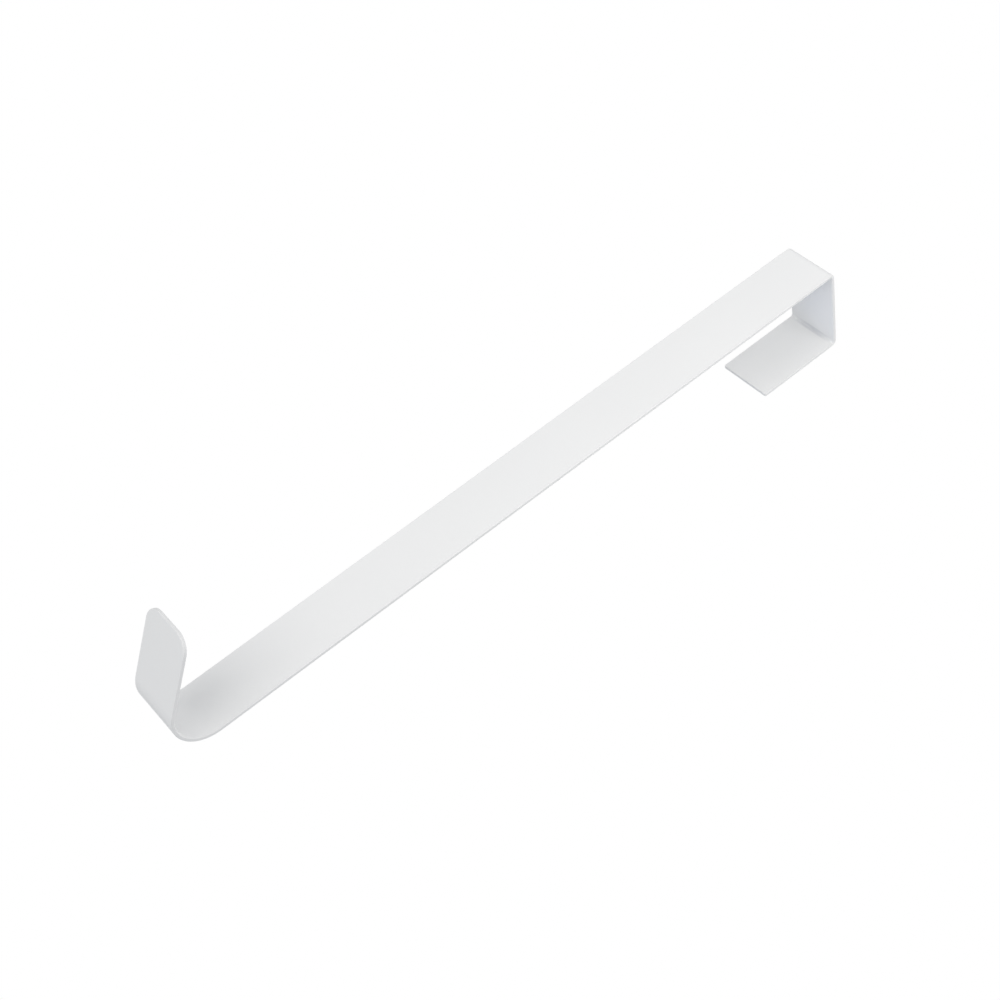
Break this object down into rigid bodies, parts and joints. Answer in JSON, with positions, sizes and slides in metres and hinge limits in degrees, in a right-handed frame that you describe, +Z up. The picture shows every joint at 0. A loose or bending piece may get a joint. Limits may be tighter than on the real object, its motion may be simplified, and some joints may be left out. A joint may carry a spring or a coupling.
{
  "type": "plant hanger extension hook",
  "caption": "Folded steel strip hook: a square channel drops over a rail, and a long straight strip below it ends in a rolled cradle with a rising lip for a hanging pot.",
  "frame": {"origin": "middle of the channel's web underside, the face that sits on top of the rail", "axes": "+Z up as the hook hangs, +Y towards the back of the rail and the channel's tail, so the cradle's lip points to -Y; X runs along the rail"},
  "size_m": [0.025, 0.0912, 0.324],
  "materials": {
    "powder_coat": "satin white powder coat with a very fine orange peel"
  },
  "bodies": {
    "root": {"hook_strip": "powder_coat"}
  },
  "joints": []
}
